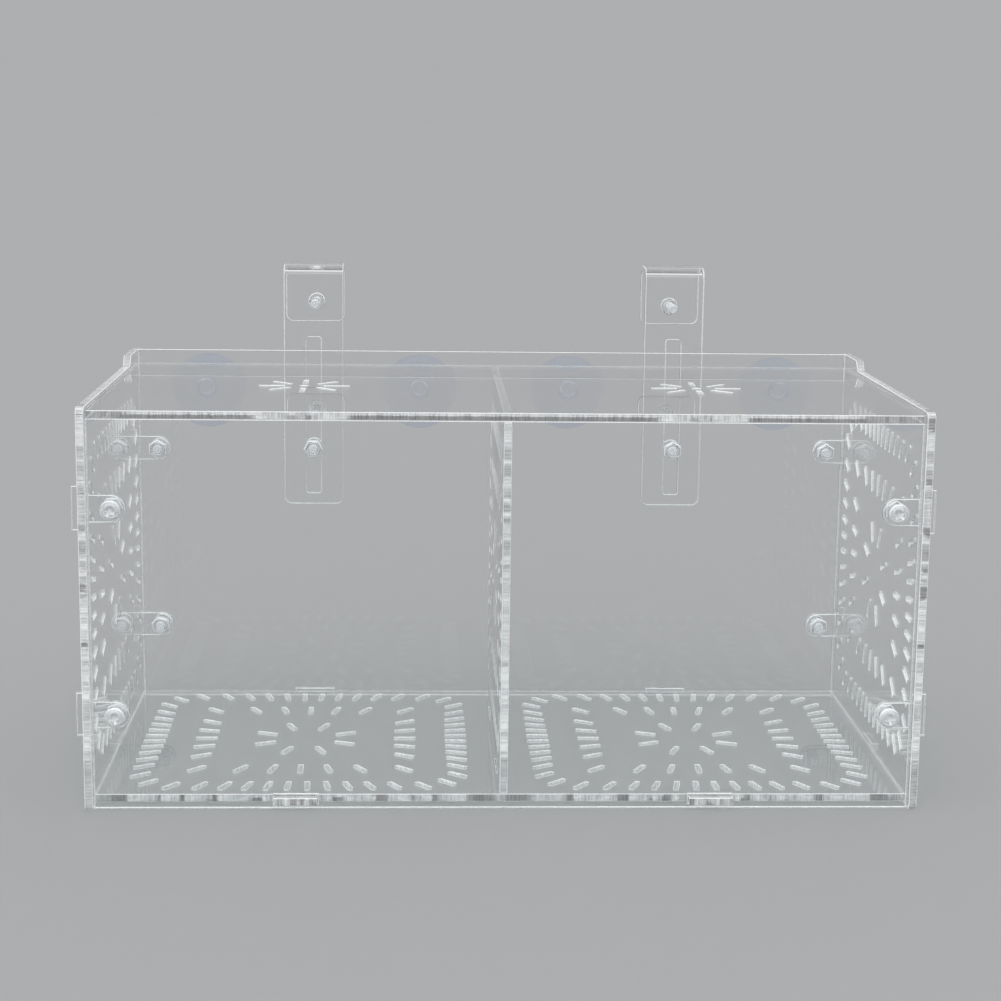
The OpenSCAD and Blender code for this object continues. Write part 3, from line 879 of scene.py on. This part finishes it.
# A pan head screw: head above Z = 0, thread below, with a cross recess
def makeScrew(name, length):
    headRadius, headHeight = screw["headDiameter"] / 2, screw["headHeight"]
    radius, threadDepth = screw["diameter"] / 2, screw["threadDepth"]
    gap, ease, sideTop = sheet["airGap"], screw["underEase"], screw["sideHeight"]
    count = int(length / (screw["pitch"] / screw["rowsPerTurn"]))
    rows = [(0, -length), (radius - threadDepth * screw["tipShare"], -length)]
    for i in range(1, count):
        height = -length + i * length / count
        fade = min(1, (height + length) / screw["tipFade"], -height / screw["neckFade"])
        rows.append((lambda angle, z, fade=fade: threadRadius(angle, z, fade), height))
    rows += [(radius - threadDepth, gap), (headRadius - ease, gap), (headRadius, ease)]
    for step in range(cornerSteps + 1):  # the crown curves over from the side to the flat top
        turn = math.pi / 2 * step / cornerSteps
        rows.append((headRadius - screw["crownWidth"] * (1 - math.cos(turn)),
                     sideTop + (headHeight - sideTop) * math.sin(turn)))
    rows.append((0, headHeight))
    obj = newObject(name, turnedMesh(name, rows, screw["around"]))
    for turn in (0, 90):
        carve(obj, crossArm(turn), "DIFFERENCE")
    finishMesh(obj.data, screw["sharpFrom"])

    recess = screw["crossLength"] / 2 + screw["recessMargin"]
    top = headHeight - screw["topMargin"]

    # Faces round the head's edge and in the cross recess take the painted highlight
    def onRim(centre, normal):
        reach = centre.xy.length
        outside = reach > headRadius - screw["rimWidth"]
        return centre.z > gap and (outside or reach < recess and centre.z < top)

    markFaces(obj.data, "cloudy", lambda centre, normal: centre.z < gap / 2)
    markFaces(obj.data, "rim", onRim)
    return obj


# A hexagonal nut above Z = 0 with turned corners and a countersunk hole
def makeNut(name):
    corner, flat = nut["flats"] / math.sqrt(3), nut["flats"] / 2
    high, gap, rim = nut["thickness"], sheet["airGap"], nut["rimWidth"]
    prism = [(0, gap), (corner - rim, gap), (corner, gap + rim), (corner, high - gap - rim),
             (corner - rim, high - gap), (0, high - gap)]
    obj = newObject(name, turnedMesh(name, prism, 6))
    obj.data.transform(Matrix.Rotation(math.pi / 2, 4, "Z"))
    edge, beyond, ease = flat + nut["turnedWidth"], corner * nut["turnedReach"], nut["turnedHeight"]
    turned = [(0, gap), (edge, gap), (beyond, ease), (beyond, high - ease), (edge, high - gap),
              (0, high - gap)]
    carve(obj, newObject("turning", turnedMesh("turning", turned, nut["turnedAround"])), "INTERSECT")
    bore, sink, over = nut["hole"] / 2, nut["countersink"] / 2, nut["drillOver"]
    drill = [(0, -over), (sink + over, -over), (bore, sink - bore), (bore, high - sink + bore),
             (sink + over, high + over), (0, high + over)]
    carve(obj, newObject("drill", turnedMesh("drill", drill, nut["drillAround"])), "DIFFERENCE")
    finishMesh(obj.data, nut["sharpFrom"])
    steepest, flattest = nut["rimSlope"]
    markFaces(obj.data, "cloudy", lambda centre, normal: centre.xy.length < sink + nut["cloudyMargin"]
              and abs(normal.z) < flattest)
    # Sloped faces at the nut's corners take the painted highlight
    markFaces(obj.data, "rim", lambda centre, normal: centre.xy.length > sink + nut["rimMargin"]
              and steepest < abs(normal.z) < flattest)
    return obj


# Copies a fastener onto points, each turned about its own axis
def buildFastenerTree():
    tree, given, result = newGroup("fasteners", "GeometryNodeTree", {
        "Points": (geometry, None), "Fastener": ("NodeSocketObject", None), "Facing": (vector, None),
        "Material": ("NodeSocketMaterial", None), "Thread Material": ("NodeSocketMaterial", None),
        "Rim Material": ("NodeSocketMaterial", None)}, {"Fasteners": (geometry, None)})
    shape = addNode(tree, "GeometryNodeObjectInfo", {"Object": given["Fastener"]}).outputs["Geometry"]
    turn = made(tree, "GeometryNodeInputNamedAttribute", {"Name": "turn"}, data_type="FLOAT")
    turned = made(tree, "FunctionNodeRotateRotation", {
        "Rotation": given["Facing"], "Rotate By": combine(tree, Z=turn)}, rotation_space="LOCAL")
    copies = made(tree, "GeometryNodeInstanceOnPoints", {
        "Points": given["Points"], "Instance": shape, "Rotation": turned})
    real = made(tree, "GeometryNodeRealizeInstances", {0: copies})
    shown = made(tree, "GeometryNodeSetMaterial", {"Geometry": real, "Material": given["Material"]})
    for label, material in (("cloudy", "Thread Material"), ("rim", "Rim Material")):
        picked = made(tree, "GeometryNodeInputNamedAttribute", {"Name": label}, data_type="BOOLEAN")
        shown = made(tree, "GeometryNodeSetMaterial", {
            "Geometry": shown, "Selection": picked, "Material": given[material]})
    setSocket(tree, result["Fasteners"], shown)
    return tree


fastenerTree = buildFastenerTree()
facingFront = (math.pi / 2, 0.0, 0.0)  # turns +Z to -Y
facingBack = (-math.pi / 2, 0.0, 0.0)  # turns +Z to +Y


# places is a list of (x, y, z, turn in degrees)
def setFasteners(node, prototype, plastic, facing, places):
    name = pieceName(node)
    mesh = bpy.data.meshes.new(name)
    mesh.from_pydata([place[:3] for place in places], [], [])
    turns = mesh.attributes.new("turn", "FLOAT", "POINT")
    turns.data.foreach_set("value", [math.radians(place[3]) for place in places])
    obj = newObject(name, mesh)
    runTree(obj, fastenerTree, {"Fastener": prototype, "Facing": facing, "Material": plastic,
                                "Thread Material": threadPlastic, "Rim Material": plasticRimHighlight})
    fit(obj, node)


# How far each screw and nut happens to be turned, in degrees
clipTurns = {"front_clip_screws": (62, 18, 40, 5), "back_clip_screws": (10, 50, 75, 30),
             "front_clip_nuts": (30, 12, 0, 22), "back_clip_nuts": (0, 15, 0, 8)}
hangerTurns = {"left": {"bolt": 20, "nut": 30}, "right": {"bolt": 65, "nut": 0}}


def makeFasteners():
    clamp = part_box("left_clamp_screw")
    shortScrew = makeScrew("shortScrew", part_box("front_clip_screws")[1].y - frontLow.y)
    longScrew = makeScrew("longScrew", clamp[1].y - clamp[0].y - screw["headHeight"])
    plainNut = makeNut("plainNut")
    corners = [(sign * clipX, z) for sign in (-1, 1) for z in clipHeights]
    for node, prototype, plastic, facing, y in (
            ("front_clip_screws", shortScrew, screwPlastic, facingFront, frontLow.y),
            ("back_clip_screws", shortScrew, screwPlastic, facingBack, backHigh.y),
            ("front_clip_nuts", plainNut, nutPlastic, facingBack, innerFront + thickness),
            ("back_clip_nuts", plainNut, nutPlastic, facingFront, innerBack - thickness)):
        places = [(x, y, z, turn) for (x, z), turn in zip(corners, clipTurns[node])]
        setFasteners(node, prototype, plastic, facing, places)
    for sideName, turns in hangerTurns.items():
        x, z = hangerX[sideName + "_hanger"], clipHeights[0]
        setFasteners(sideName + "_hanger_bolt", shortScrew, screwPlastic, facingBack,
                     [(x, backHigh.y + thickness, z, turns["bolt"])])
        setFasteners(sideName + "_hanger_nut", plainNut, nutPlastic, facingFront,
                     [(x, innerBack, z, turns["nut"])])
        low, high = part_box(sideName + "_clamp_screw")
        setFasteners(sideName + "_clamp_screw", longScrew, screwPlastic, facingBack,
                     [(x, high.y - screw["headHeight"], (low.z + high.z) / 2, turns["bolt"])])
    for prototype in (shortScrew, longScrew, plainNut):
        bpy.data.objects.remove(prototype)


makeFasteners()
print("fasteners set")


cup = {
    "rim": 0.6 * mm, "neck": 5 * mm, "button": 8.5 * mm, "buttonHeight": 3 * mm, "buttonEase": 1 * mm,
    "buttonEdge": 0.3 * mm, "shoulder": 1.5 * mm, "collarShare": 0.6, "collarWidth": 1.2 * mm,
    "web": 2 * mm, "around": 72, "steps": 16, "sharpFrom": 40,
}


# Height above the middle of a shallow bowl of the given half width and depth
def bowl(radius, halfWidth, depth):
    sphere = (halfWidth ** 2 + depth ** 2) / (2 * depth)
    return sphere - math.sqrt(sphere ** 2 - radius ** 2)


# Rows of a cup from the back of its button to the middle of its hollow, with Z = 0 on the back panel
def cupRows(rimRadius, depth):
    bell = depth - cup["shoulder"]
    hollow = bell - cup["web"]
    button, neck, ease, edge = cup["button"] / 2, cup["neck"] / 2, cup["buttonEase"], cup["buttonEdge"]
    gap, steps = sheet["airGap"], cup["steps"]
    back = -thickness - cup["buttonHeight"]
    rows = [(0, back)]
    for step in range(cornerSteps + 1):
        turn = math.pi / 2 * step / cornerSteps
        rows.append((button - ease + ease * math.sin(turn), back + ease - ease * math.cos(turn)))
    rows += [(button, -thickness - edge), (button - edge, -thickness - gap), (neck, -thickness - gap),
             (neck, gap), (button, gap), (button, cup["shoulder"] * cup["collarShare"])]
    start = button + cup["collarWidth"]
    for step in range(steps + 1):
        radius = start + (rimRadius - start) * step / steps
        rows.append((radius, cup["shoulder"] + bowl(radius, rimRadius, bell)))
    inside = rimRadius - cup["rim"]
    for step in range(steps + 1):
        radius = inside * (1 - step / steps)
        rows.append((radius, depth - hollow + bowl(radius, inside, hollow)))
    return rows


def makeCups():
    for node, centre in cupCentres.items():
        low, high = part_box(node)
        rows = cupRows((high.x - low.x) / 2, high.y - backHigh.y)
        obj = newObject(pieceName(node), turnedMesh(node, rows, cup["around"]))
        turnOut = Matrix.Rotation(-math.pi / 2, 4, "X")
        obj.data.transform(Matrix.Translation((centre.x, backHigh.y, centre.z)) @ turnOut)
        finishMesh(obj.data, cup["sharpFrom"])
        obj.data.materials.append(softVinyl)
        fit(obj, node)


makeCups()
print("suction cups made")


camera = {
    "place": (-31.99 * mm, -788.37 * mm, 246.81 * mm),
    "yaw": -2.357, "pitch": -10.539, "roll": 0.711,  # degrees
    "focalPixels": 2073.4, "imagePixels": 1001, "sensor": 36,
}
studio = {
    "floor": (0.340, 0.344, 0.348, 1), "floorRadius": 60, "floorSides": 64,
    "backdrop": (0.42, 0.425, 0.43, 1), "sky": (0.85, 0.85, 0.85, 1),
    "backdropTop": 12, "skyFrom": 35,  # degrees above the horizon
}
# Wide soft suns, which light every side evenly and don't mirror in the flat sheets
lamps = {
    "key": {"place": (-0.5, -0.8, 0.87), "angle": 90, "strength": 1.6},
    "fill": {"place": (0.9, 0.3, 0.7), "angle": 90, "strength": 0.6},
}


def makeCamera():
    data = bpy.data.cameras.new("camera")
    data.sensor_width = camera["sensor"]
    data.lens = camera["focalPixels"] / camera["imagePixels"] * camera["sensor"]
    obj = newObject("camera", data)
    turn = (Matrix.Rotation(math.radians(camera["yaw"]), 4, "Z")
            @ Matrix.Rotation(math.radians(90 + camera["pitch"]), 4, "X")
            @ Matrix.Rotation(math.radians(camera["roll"]), 4, "Z"))
    obj.matrix_world = Matrix.Translation(camera["place"]) @ turn
    bpy.context.scene.camera = obj


# A wide flat floor, which meets a backdrop of the same shade
def makeStageFloor():
    sides, radius = studio["floorSides"], studio["floorRadius"]
    angles = [2 * math.pi * i / sides for i in range(sides)]
    mesh = bpy.data.meshes.new("studioFloor")
    mesh.from_pydata([(radius * math.cos(angle), radius * math.sin(angle), 0) for angle in angles],
                     [], [range(sides)])
    material, tree = newMaterial("studioFloor")
    shader = made(tree, "ShaderNodeBsdfDiffuse", {"Color": studio["floor"]})
    addNode(tree, "ShaderNodeOutputMaterial", {"Surface": shader})
    mesh.materials.append(material)
    newObject("studioFloor", mesh)


# A backdrop all round, with a bright sky above it
def makeWorld():
    world = bpy.data.worlds.new("studio")
    bpy.context.scene.world = world
    world.use_nodes = True
    tree = world.node_tree
    tree.nodes.clear()
    direction = addNode(tree, "ShaderNodeTexCoord").outputs["Generated"]
    backdropTop, skyFrom = [math.sin(math.radians(studio[edge])) for edge in ("backdropTop", "skyFrom")]
    rise = mapRange(tree, separate(tree, direction)["Z"], backdropTop, skyFrom,
                    interpolation_type="SMOOTHSTEP")
    shade = mixColors(tree, rise, studio["backdrop"], studio["sky"])
    light = made(tree, "ShaderNodeBackground", {"Color": shade, "Strength": 1})
    addNode(tree, "ShaderNodeOutputWorld", {"Surface": light})


def makeLamps():
    for name, values in lamps.items():
        lamp = bpy.data.lights.new(name, "SUN")
        lamp.angle = math.radians(values["angle"])
        lamp.energy = values["strength"]
        obj = newObject(name, lamp)
        obj.location = values["place"]
        obj.rotation_euler = (-Vector(values["place"])).to_track_quat("-Z", "Y").to_euler()
        obj.visible_glossy = False
        obj.visible_transmission = False


makeCamera()
makeStageFloor()
makeWorld()
makeLamps()
bpy.context.scene.view_settings.view_transform = "Standard"
print("studio ready")
